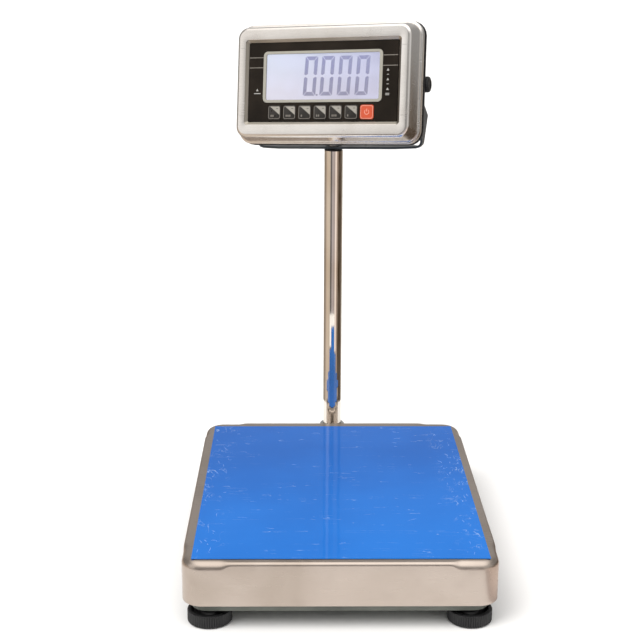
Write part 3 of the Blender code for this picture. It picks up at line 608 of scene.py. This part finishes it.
def film_creases(mat):
    """Small trapped-air ridges, most of them along the film's two long edges."""
    low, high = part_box("protective_film")
    rng = random.Random(41)
    bm = bmesh.new()
    for number in range(74):
        near_side = number % 5 != 0
        side = rng.choice((-1, 1))
        if near_side:
            x = side * (high.x - low.x) * (0.5 - rng.uniform(0.012, 0.085)) + (low.x + high.x) / 2
            heading = math.pi / 2 + rng.gauss(0, 0.5)
            length = rng.uniform(0.004, 0.011)
        else:
            x = rng.uniform(low.x + 0.03, high.x - 0.03)
            heading = rng.gauss(0, 0.25)
            length = rng.uniform(0.005, 0.014)
        y = rng.uniform(low.y + 0.012, high.y - 0.012)
        bend = rng.uniform(-0.9, 0.9)
        width = rng.uniform(0.00018, 0.00036)
        height = rng.uniform(0.00006, 0.00014)
        spine = []
        for step in range(9):
            t = step / 8 - 0.5
            turn = heading + bend * t
            spine.append((x + length * t * math.cos(turn), y + length * t * math.sin(turn), turn,
                          1 - (2 * t) ** 2))
        rows = []
        for sx, sy, turn, fade in spine:
            across = Vector((-math.sin(turn), math.cos(turn), 0)) * width * (0.15 + 0.85 * fade)
            centre = Vector((sx, sy, high.z - 0.00012))
            crest = Vector((0, 0, height * fade + 0.00004))
            rows.append([bm.verts.new(point) for point in (centre - across, centre + crest, centre + across,
                                                            centre - Vector((0, 0, 0.00005)))])
        for first, second in zip(rows, rows[1:]):
            for i in range(4):
                j = (i + 1) % 4
                bm.faces.new((first[i], first[j], second[j], second[i]))
        bm.faces.new(rows[0])
        bm.faces.new(rows[-1])
    piece("film_creases", bm, mat, "pan", sharp=80)


# ---------------------------------------------------------------- feet
def wheels(mat):
    """Hand wheels with 56 round ribs, a raised rim, a sunk web with a hub, and the stud."""
    ribs, per_rib, depth = 56, 6, 0.0012

    def rib_wave(angle, radius, height):
        if radius < 0.0240 or not 0.0020 < height < 0.0142:
            return 0.0
        valley = 0.5 - 0.5 * math.cos(ribs * angle)
        return depth * valley ** 1.6

    profile = [
        (0.0036, 0.0400), (0.0044, 0.0396), (0.0048, 0.0388), (0.0048, 0.0139), (0.0086, 0.0135),
        (0.0094, 0.0130), (0.0101, 0.0113), (0.0107, 0.0106), (0.0178, 0.0105), (0.0188, 0.0109),
        (0.0194, 0.0120), (0.0199, 0.0143), (0.0205, 0.0149), (0.0213, 0.0150), (0.0236, 0.0150),
        (0.0245, 0.0146), (0.0250, 0.0138), (0.0250, 0.0024), (0.0246, 0.0015), (0.0238, 0.0010),
        (0.0213, 0.0010), (0.0213, 0.0033),
    ]
    for corner in CORNERS:
        low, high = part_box(f"foot_wheel_{corner}")
        mid = (low + high) / 2
        bm = bmesh.new()
        spun(bm, profile, ribs * per_rib, rib_wave)
        place = Matrix.Translation((mid.x, mid.y, 0))
        piece(f"hand_wheel_{corner}", bm, mat, f"foot_{corner}_wheel",
              (f"foot_wheel_{corner}",), place, sharp=42)


# ---------------------------------------------------------------- indicator housing
def shell(mat, recess):
    """Stainless front: flat rim, sloped recess to the panel, round edge, drawn side and stepped flange."""

    def flange(cut, rise):
        outline = rounded(CASE_HALF_X - cut, CASE_HALF_Z - cut, CASE_CORNER - cut)
        return upright(outline, CASE_SPLIT - rise)

    rings = [
        upright(rounded(CASE_HALF_X - 0.0002, CASE_HALF_Z - 0.0002, CASE_CORNER), CASE_SPLIT),
        flange(0.0, 0.0003),
        flange(0.0, FLANGE_DEEP),
    ]
    for degrees in (30, 60, 90):
        angle = math.radians(degrees)
        rings.append(flange(FLANGE_ROUND * (1 - math.cos(angle)),
                            FLANGE_DEEP + FLANGE_ROUND * math.sin(angle)))
    for cut, rise in ((0.0019, 0.0085), (0.0025, 0.0089), (0.0028, 0.0098)):
        rings.append(flange(cut, rise))
    arc_steps = 10
    for step in range(arc_steps + 1):
        angle = math.pi / 2 * step / arc_steps
        grow = RIM_EDGE * math.cos(angle)
        rings.append(upright(rounded(RIM_X + grow, RIM_Z + grow, 0.010 + grow),
                             CASE_FRONT + RIM_EDGE * (1 - math.sin(angle))))
    for grow, depth, radius in (
            (0.0048, 0.0, 0.0048), (0.0043, 0.00012, 0.0045), (0.0039, 0.0005, 0.0042),
            (0.0009, 0.0027, 0.0018), (0.0005, 0.0031, 0.0015), (0.0004, 0.0045, 0.0015),
            (0.0025, 0.0048, 0.0030), (0.0040, 0.0018, 0.0040)):
        rings.append(upright(rounded(PANEL_X + grow, PANEL_Z + grow, radius), CASE_FRONT + depth))
    for half_x, half_z, radius, y in (
            (RIM_X - 0.0014, RIM_Z - 0.0014, 0.0095, CASE_FRONT + 0.0018),
            (RIM_X + 0.0032, RIM_Z + 0.0032, 0.0135, CASE_FRONT + 0.0060),
            (RIM_X + 0.0066, RIM_Z + 0.0066, 0.0145, CASE_SPLIT - 0.0100),
            (RIM_X + 0.0066, RIM_Z + 0.0066, 0.0145, CASE_SPLIT)):
        rings.append(upright(rounded(half_x, half_z, radius), y))
    bm = bmesh.new()
    skin(bm, rings, closed=True)
    # Faces in the recess round the panel take a darker copy of the case steel: painted shade.
    for face in bm.faces:
        middle = face.calc_center_median()
        in_recess = abs(middle.x) < PANEL_X + RECESS and abs(middle.z) < PANEL_Z + RECESS
        face.material_index = int(in_recess and middle.y < CASE_FRONT + RECESS_DEEP)
    piece("shell_front", bm, (mat, recess), "indicator", ("front_shell",), TILT, sharp=32)


def shell_seams(mat):
    """Four short polished weld lines across the rim, in line with the recess corners."""
    bm = bmesh.new()
    for side in (-1, 1):
        for level in (-0.0440, 0.0450):
            low, high = 0.1104, 0.1170
            outline = [(side * low, level - 0.00022), (side * high, level - 0.00022),
                       (side * high, level + 0.00022), (side * low, level + 0.00022)]
            plate(bm, outline, CASE_FRONT - 0.00005, CASE_FRONT + 0.0003)
    piece("shell_seams", bm, mat, "indicator", place=TILT)


def bezel(mat):
    """Raised rounded frame round the display window."""
    outer = rounded(0.0840, 0.03355, 0.0060, 10)
    inner = rounded(WINDOW_X + 0.0001, WINDOW_Z + 0.0001, 0.0026, 10)
    bm = bmesh.new()
    frame_ring(bm, outer, inner, PANEL_FRONT - 0.0004, PANEL_FRONT, 0.004)
    shift(bm, (0, 0, WINDOW_MID))
    piece("display_bezel", bm, mat, "indicator", place=TILT)


def digit_segments(width, height, stroke):
    """The six outer bars of a seven-bar figure, with mitred ends, its lower left corner at 0, 0."""
    half = height / 2
    top = [(1.2, height), (width - 1.2, height), (width - stroke - 0.1, height - stroke),
           (stroke + 0.1, height - stroke)]
    upper = [(0.0, height - 1.1), (0.5, height - 0.6), (stroke, height - stroke - 0.7), (stroke, half + 2.9),
             (stroke * 0.45, half + 1.1), (0.0, half + 2.1)]
    bars = []
    for flip_x in (False, True):
        for flip_z in (False, True):
            bars.append([(width - x if flip_x else x, height - z if flip_z else z) for x, z in upper])
    return bars + [top, [(x, height - z) for x, z in top]]


def digits(mat):
    """Four slanted noughts with one decimal point."""
    height, width, stroke, base, lean = 51.0, 17.9, 4.9, -18.0, 3.0
    bm = bmesh.new()
    for left in (-27.2, -3.6, 20.9, 45.6):
        for bar in digit_segments(width, height, stroke):
            outline = [((left + x + lean * z / height) * MM, (base + z) * MM) for x, z in bar]
            plate(bm, outline, LCD_FRONT - PRINT, LCD_FRONT)
    dot = [((-7.3 + x) * MM, (-17.0 + z) * MM) for x, z in rounded(1.3, 1.2, 0.5, 3)]
    plate(bm, dot, LCD_FRONT - PRINT, LCD_FRONT)
    piece("display_digits", bm, mat, "indicator", place=TILT)


def lcd(mat):
    """The backlit module behind the glass, with slightly rounded edges."""
    rings = [upright(rounded(WINDOW_X + grow, WINDOW_Z + grow - 0.001, 0.001, 4), LCD_FRONT + depth,
                     WINDOW_MID + 0.0015)
             for grow, depth in ((0.0030, 0.0040), (0.0030, 0.0002), (0.0028, 0.0))]
    bm = bmesh.new()
    skin(bm, rings)
    piece("lcd_face", bm, mat, "indicator", ("lcd_module",), TILT)


def panel_lines(mat):
    """Thin rules beside the display."""
    bm = bmesh.new()
    for side in (-1, 1):
        for level in (0.0326, 0.0194):
            outline = [(side * 0.0843, level - 0.0005), (side * 0.1046, level - 0.0005),
                       (side * 0.1046, level + 0.0005), (side * 0.0843, level + 0.0005)]
            plate(bm, outline, PANEL_FRONT - PRINT, PANEL_FRONT)
    piece("panel_lines", bm, mat, "indicator", place=TILT)


def panel_signs(mat):
    """Plain signs in place of lettering: a column of pointers on the right, a lamp sign on the left."""
    front, back = PANEL_FRONT - PRINT, PANEL_FRONT
    bm = bmesh.new()

    def pointer(x, z, size):
        plate(bm, [(x - size, z - size * 0.8), (x + size, z - size * 0.8), (x, z + size)], front, back)

    def bar(x, z, half, thick):
        low, high = z - thick, z + thick
        plate(bm, [(x - half, low), (x + half, low), (x + half, high), (x - half, high)], front, back)

    right = 0.0914
    for z in (0.0140, 0.0018, -0.0105):
        pointer(right, z, 0.0018)
    for z, half in ((0.0080, 0.0013), (-0.0042, 0.0014), (-0.0162, 0.0026), (-0.0180, 0.0026)):
        bar(right, z, half, 0.00045)
    left = -0.0924
    pointer(left, -0.0100, 0.0017)
    bar(left, -0.0146, 0.0048, 0.00055)
    piece("panel_signs", bm, mat, "indicator", place=TILT)


# ---------------------------------------------------------------- keys
def key_places():
    middle = (KEY_COUNT + 1) / 2
    return [(number, (number - middle) * KEY_PITCH - 0.0012) for number in range(1, KEY_COUNT + 1)]


def keys(dark, orange, outline_ink, corner_ink, mark_ink, pale_ink):
    """Softly crowned keys; the dark ones carry a light corner, the orange one a power sign."""
    for number, x in key_places():
        last = number == KEY_COUNT
        place = TILT @ Matrix.Translation((x, 0, KEY_Z))
        rings = []
        for half, radius, y in (
                (KEY_HALF + KEY_LEDGE, 0.0036, PANEL_FRONT + 0.0027),
                (KEY_HALF + KEY_LEDGE, 0.0036, PANEL_FRONT + 0.0019),
                (KEY_HALF, 0.0028, PANEL_FRONT + 0.0019),
                (KEY_HALF, 0.0028, PANEL_FRONT - 0.0001),
                (KEY_HALF - 0.0001, 0.0027, PANEL_FRONT - 0.0003),
                (KEY_HALF - 0.0004, 0.0025, KEY_FRONT + 0.0001),
                (KEY_HALF - 0.0008, 0.0022, KEY_FRONT)):
            rings.append(upright(rounded(half, half, radius, 8), y))
        bm = bmesh.new()
        skin(bm, rings)
        mat, slot = (orange, "key_orange") if last else (dark, "key_black")
        piece(f"key_cap_{number}", bm, mat, f"key_{number}", (f"key_{number}",), place)
        key_print(number, place, outline_ink, corner_ink, mark_ink, pale_ink)


def key_print(number, place, outline_ink, corner_ink, mark_ink, pale_ink):
    front, back = KEY_FRONT - PRINT, KEY_FRONT
    body, last = f"key_{number}", number == KEY_COUNT
    bm = bmesh.new()
    rim = KEY_HALF - 0.0009
    inner = rim - 0.0006
    frame_ring(bm, rounded(rim, rim, 0.0026, 8), rounded(inner, inner, 0.0021, 8), front, back)
    piece(f"key_outline_{number}", bm, pale_ink if last else outline_ink, body, place=place)
    if last:
        bm = bmesh.new()
        arc = [math.radians(125 + 290 * step / 24) for step in range(25)]
        outline = [(0.0034 * math.cos(a), 0.0034 * math.sin(a)) for a in arc]
        outline += [(0.0026 * math.cos(a), 0.0026 * math.sin(a)) for a in reversed(arc)]
        plate(bm, outline, front, back)
        plate(bm, [(-0.0004, 0.0006), (0.0004, 0.0006), (0.0004, 0.0043), (-0.0004, 0.0043)], front, back)
        piece(f"key_sign_{number}", bm, pale_ink, body, place=place)
        return
    bm = bmesh.new()
    edge = rim - 0.0007
    corner = [(edge - 0.0012 * (1 - math.cos(a)), edge - 0.0012 * (1 - math.sin(a)))
              for a in (0.0, 0.5, 1.0, math.pi / 2)]
    plate(bm, corner + [(-0.0058, edge), (edge, -0.0030)], front, back)
    piece(f"key_corner_{number}", bm, corner_ink, body, place=place)
    bm = bmesh.new()
    plate(bm, [(0.0030, 0.0048), (0.0058, 0.0048), (0.0058, 0.0055), (0.0030, 0.0055)],
          front - PRINT, back - PRINT)
    piece(f"key_dash_{number}", bm, mark_ink, body, place=place)
    bm = bmesh.new()
    for step in range(1 + number % 3):
        x = -0.0050 + 0.0026 * step
        plate(bm, [(x, -0.0056), (x + 0.0016, -0.0056), (x + 0.0016, -0.0030), (x, -0.0030)], front, back)
    piece(f"key_mark_{number}", bm, outline_ink, body, place=place)


# ---------------------------------------------------------------- knobs
def knobs(mat):
    """Tilt clamp knobs: twenty soft flutes on the head and a domed end."""
    flutes, per_flute, depth = 20, 8, 0.0007
    last = KNOB_RADIUS - 0.0002

    def flute_wave(angle, radius, _):
        if radius < last:
            return 0.0
        return depth * (0.5 - 0.5 * math.cos(flutes * angle))

    profile = [
        (0.0037, 0.1040), (0.0037, KNOB_SEAT), (0.0078, KNOB_SEAT), (0.0080, KNOB_SEAT + 0.0003),
        (0.0080, KNOB_HEAD - 0.0002), (0.0094, KNOB_HEAD), (0.0101, KNOB_HEAD + 0.0001),
        (KNOB_RADIUS, KNOB_HEAD + 0.0006), (KNOB_RADIUS, KNOB_END - 0.0026), (0.0101, KNOB_END - 0.0017),
        (0.0095, KNOB_END - 0.0010), (0.0082, KNOB_END - 0.0004), (0.0062, KNOB_END - 0.0001),
        (0.0052, KNOB_END - 0.0001), (0.0046, KNOB_END - 0.0006), (0.0020, KNOB_END - 0.0007),
    ]
    for side, name in ((-1, "knob_left"), (1, "knob_right")):
        bm = bmesh.new()
        spun(bm, [(radius, side * along) for radius, along in profile], flutes * per_flute, flute_wave, "X")
        piece(f"clamp_{name}", bm, mat, name, (name,), TILT, sharp=40)


# ---------------------------------------------------------------- camera, floor and light
def camera():
    yaw, down, roll = (math.radians(degrees) for degrees in (CAMERA_YAW, CAMERA_DOWN, CAMERA_ROLL))
    ahead = Vector((math.sin(yaw) * math.cos(down), math.cos(yaw) * math.cos(down), -math.sin(down)))
    right = Vector((math.cos(yaw), -math.sin(yaw), 0))
    up = right.cross(ahead)
    side = right * math.cos(roll) + up * math.sin(roll)
    top = up * math.cos(roll) - right * math.sin(roll)
    data = bpy.data.cameras.new("camera")
    data.sensor_width = 36.0
    data.lens = CAMERA_LENS
    data.clip_end = 60.0
    view = bpy.data.objects.new("camera", data)
    bpy.context.scene.collection.objects.link(view)
    facing = Matrix((side, top, -ahead)).transposed().to_4x4()
    view.matrix_world = Matrix.Translation(CAMERA_PLACE) @ facing
    bpy.context.scene.camera = view


def level_rings(name, mat, rings):
    """A flat object of nested rings on the floor; the last ring is filled when it is the smallest."""
    bm = bmesh.new()
    filled = Vector(rings[-1][0]).length < Vector(rings[0][0]).length
    skin(bm, rings, caps=(False, filled))
    mesh = bpy.data.meshes.new(name)
    bm.to_mesh(mesh)
    bm.free()
    mesh.materials.append(mat)
    thing = bpy.data.objects.new(name, mesh)
    bpy.context.scene.collection.objects.link(thing)
    return thing


def circle(radius, count):
    turns = (2 * math.pi * i / count for i in range(count))
    return [(radius * math.cos(turn), radius * math.sin(turn), 0.0) for turn in turns]


def floor(mat):
    """A wide pale floor, so that it fills the view behind the object."""
    ground = level_rings("floor", mat, [circle(radius, 48) for radius in (FLOOR_REACH, 8.0, 2.0)])


def reflected_ring():
    """A matt ring on the floor, seen in mirror reflections only, that paints reflections: beige, with dark
    and pale sectors.
    """
    look = Look("reflected_ring", (0.4, 0.36, 0.3), 0.9, Specular_IOR_Level=0.0)
    heading = look.math("ARCTAN2", look.axis(0), look.math("MULTIPLY", look.axis(1), -1.0))
    share = look.spread(heading, (-math.pi, math.pi), (0.0, 1.0))
    ramp = look.add("ShaderNodeValToRGB")
    look.wire(share, ramp.inputs["Fac"])
    # Painted reflection: colours by heading round the column, mirrored by the metal as dark and pale bands.
    stops = [(-150, (0.20, 0.16, 0.13)), (-112, (0.22, 0.19, 0.16)), (-98, (0.46, 0.38, 0.32)),
             (-50, (0.54, 0.47, 0.40)), (-41, (0.12, 0.11, 0.11)), (-20, (0.08, 0.08, 0.09)),
             (-10, (0.36, 0.33, 0.35)), (22, (0.32, 0.28, 0.28)), (31, (0.76, 0.68, 0.64)),
             (42, (0.66, 0.57, 0.52)), (54, (0.16, 0.11, 0.08)), (66, (0.040, 0.025, 0.015)),
             (120, (0.045, 0.030, 0.018)), (138, (0.40, 0.36, 0.32)), (165, (0.34, 0.32, 0.30))]
    elements = ramp.color_ramp.elements
    for _ in stops[2:]:
        elements.new(0.5)
    for element, (angle, colour) in zip(elements, stops):
        element.position = (angle + 180) / 360
        element.color = (*colour, 1.0)
    cloud = look.spread(look.noise(3.0), (0.3, 0.7), (0.0, 0.15), True)
    look.colour(look.blend(cloud, ramp.outputs["Color"], (0.40, 0.36, 0.32)))

    def start(point):
        """The ring keeps off the floor before the pan, which the pan's skirt mirrors."""
        ahead = AHEAD_LEFT if point[0] < 0 else AHEAD_RIGHT
        return Vector(point) * (RING_AHEAD if -point[1] > ahead else RING_NEAR)

    count = 96
    inner = [start(point) for point in circle(1.0, count)]
    ring = level_rings("reflected_ring", look.mat,
                       [inner] + [circle(radius, count) for radius in (2.0, 8.0, FLOOR_REACH)])
    axis = JOINTS["head_swivel"]["pos_m"]
    ring.location = (axis[0], axis[1], 0.002)
    ring.visible_camera = ring.visible_diffuse = ring.visible_shadow = False
    ring.visible_transmission = False


def studio_world():
    """Soft room light: bright overhead and to the front left, dim behind and to the right."""
    world = bpy.data.worlds.new("studio")
    world.use_nodes = True
    bpy.context.scene.world = world
    tree = world.node_tree
    background = tree.nodes["Background"]
    coord = tree.nodes.new("ShaderNodeTexCoord")

    def lobe(direction, low, high, strength):
        dot = tree.nodes.new("ShaderNodeVectorMath")
        dot.operation = "DOT_PRODUCT"
        tree.links.new(coord.outputs["Generated"], dot.inputs[0])
        dot.inputs[1].default_value = Vector(direction).normalized()
        ramp = tree.nodes.new("ShaderNodeMapRange")
        ramp.interpolation_type = "SMOOTHSTEP"
        ramp.inputs["From Min"].default_value = low
        ramp.inputs["From Max"].default_value = high
        ramp.inputs["To Max"].default_value = strength
        tree.links.new(dot.outputs["Value"], ramp.inputs["Value"])
        return ramp.outputs["Result"]

    parts = [
        lobe((0.0, -0.25, 1.0), 0.55, 0.95, 1.55),
        lobe((-0.95, -0.50, 0.35), 0.86, 1.0, 0.78),
        lobe((0.75, -0.60, 0.40), 0.80, 0.97, 0.35),
        lobe((0.0, 1.0, 0.50), 0.70, 0.98, 0.16),
    ]
    total = None
    for part in parts:
        add = tree.nodes.new("ShaderNodeMath")
        tree.links.new(part, add.inputs[0])
        if total is None:
            add.inputs[1].default_value = 0.32
        else:
            tree.links.new(total, add.inputs[1])
        total = add.outputs["Value"]
    tree.links.new(total, background.inputs["Strength"])
    background.inputs["Color"].default_value = (1.0, 0.985, 0.965, 1.0)


def key_light():
    data = bpy.data.lights.new("key", "SUN")
    data.energy = 1.6
    data.angle = math.radians(38)
    data.color = (1.0, 0.985, 0.96)
    lamp = bpy.data.objects.new("key", data)
    lamp.visible_glossy = False
    bpy.context.scene.collection.objects.link(lamp)
    lamp.rotation_euler = KEY_SOURCE.to_track_quat("Z", "Y").to_euler()


# ---------------------------------------------------------------- assembly
def build():
    # The pan's dark beige is painted reflection of a warm room; plain satin stainless would be paler and
    # greyer.
    pan_steel_painted_reflection = satin_steel("pan_stainless", (0.45, 0.38, 0.325), (0.53, 0.455, 0.40), 0.27, 0.33,
                            (0.03, 1, 1), scratch=0.04)
    case_steel = satin_steel("case_stainless", (0.74, 0.70, 0.66), (0.83, 0.80, 0.77), 0.16, 0.26,
                             (0.05, 1, 1), TILT)
    # A darker copy of the case steel for the recess round the panel: painted shade.
    recess_steel_painted_shade = satin_steel("recess_steel_painted_shade", (0.36, 0.33, 0.28), (0.46, 0.42, 0.37), 0.30, 0.42,
                               (0.05, 1, 1), TILT)
    seam_steel = satin_steel("seam_steel", (0.40, 0.39, 0.37), (0.50, 0.48, 0.45), 0.3, 0.4, (1, 1, 1))
    bracket_paint = paint("bracket_paint", (0.055, 0.066, 0.078), (0.085, 0.098, 0.112), 0.26, 0.42, 0.55)
    tube = polished_tube()
    black = plastic("black_plastic", (0.009, 0.009, 0.010), (0.017, 0.017, 0.018), 0.38, 0.55)
    soft = rubber()
    plated = zinc()
    green_paint = paint("frame_paint", (0.105, 0.115, 0.100), (0.165, 0.178, 0.155), 0.42, 0.62)
    line_ink = ink("ink_grey", (0.200, 0.180, 0.155))
    light_ink = ink("ink_light", (0.42, 0.41, 0.39))
    corner_ink = ink("ink_corner", (0.34, 0.32, 0.28))
    dark_ink = ink("ink_dark", (0.03, 0.026, 0.022))
    pale_ink = ink("ink_pale", (0.74, 0.36, 0.27))
    bezel_ink = ink("bezel_grey", (0.36, 0.345, 0.295), 0.93)

    pan(pan_steel_painted_reflection)
    film(film_blue())
    film_creases(film_ridge())
    wheels(black)
    shell(case_steel, recess_steel_painted_shade)
    shell_seams(seam_steel)
    bezel(bezel_ink)
    lcd(lcd_backlight())
    digits(lcd_segment())
    panel_lines(line_ink)
    panel_signs(light_ink)
    keys(plastic("key_black", (0.012, 0.010, 0.008), (0.022, 0.018, 0.015), 0.26, 0.38, 2200.0, 0.12),
         plastic("key_orange", (0.46, 0.060, 0.022), (0.55, 0.080, 0.030), 0.30, 0.42, 2200.0, 0.12),
         line_ink, corner_ink, dark_ink, pale_ink)
    knobs(black)
    soften("indicator_bracket", bracket_paint, "bracket", 0.0005)

    dress(tube, "column")
    dress(plated, "column_socket")
    dress(black, "rear_shell", "load_cell_gland", "supply_gland", "column_plug")
    dress(soft, "case_gasket", *[f"foot_sole_{corner}" for corner in CORNERS],
          *[f"pan_pad_{corner}" for corner in CORNERS])
    dress(plated, "load_cell_top_block", "load_cell_upper_bolt_1", "load_cell_upper_bolt_2",
          "load_cell_lower_bolt_1", "load_cell_lower_bolt_2", "column_bolt_left", "column_bolt_right",
          "column_clamp_screw", "swivel_bolt", *[f"foot_nut_{corner}" for corner in CORNERS],
          *[f"case_screw_{level}_{side}" for level in ("lower", "upper") for side in ("left", "right")])
    dress(green_paint, "base_frame", "upper_frame")
    dress(aluminium(), "load_cell")
    dress(acrylic(), "bubble_level")
    dress(panel_black(), "front_panel")
    dress(clear_glass(), "display_glass")
    dress(circuit_board(), "main_board")
    dress(plastic("battery_case", (0.06, 0.06, 0.07), (0.10, 0.10, 0.115), 0.40, 0.55), "battery")

    camera()
    floor(floor_white())
    reflected_ring()
    studio_world()
    key_light()
    bpy.context.scene.view_settings.view_transform = "Standard"


build()
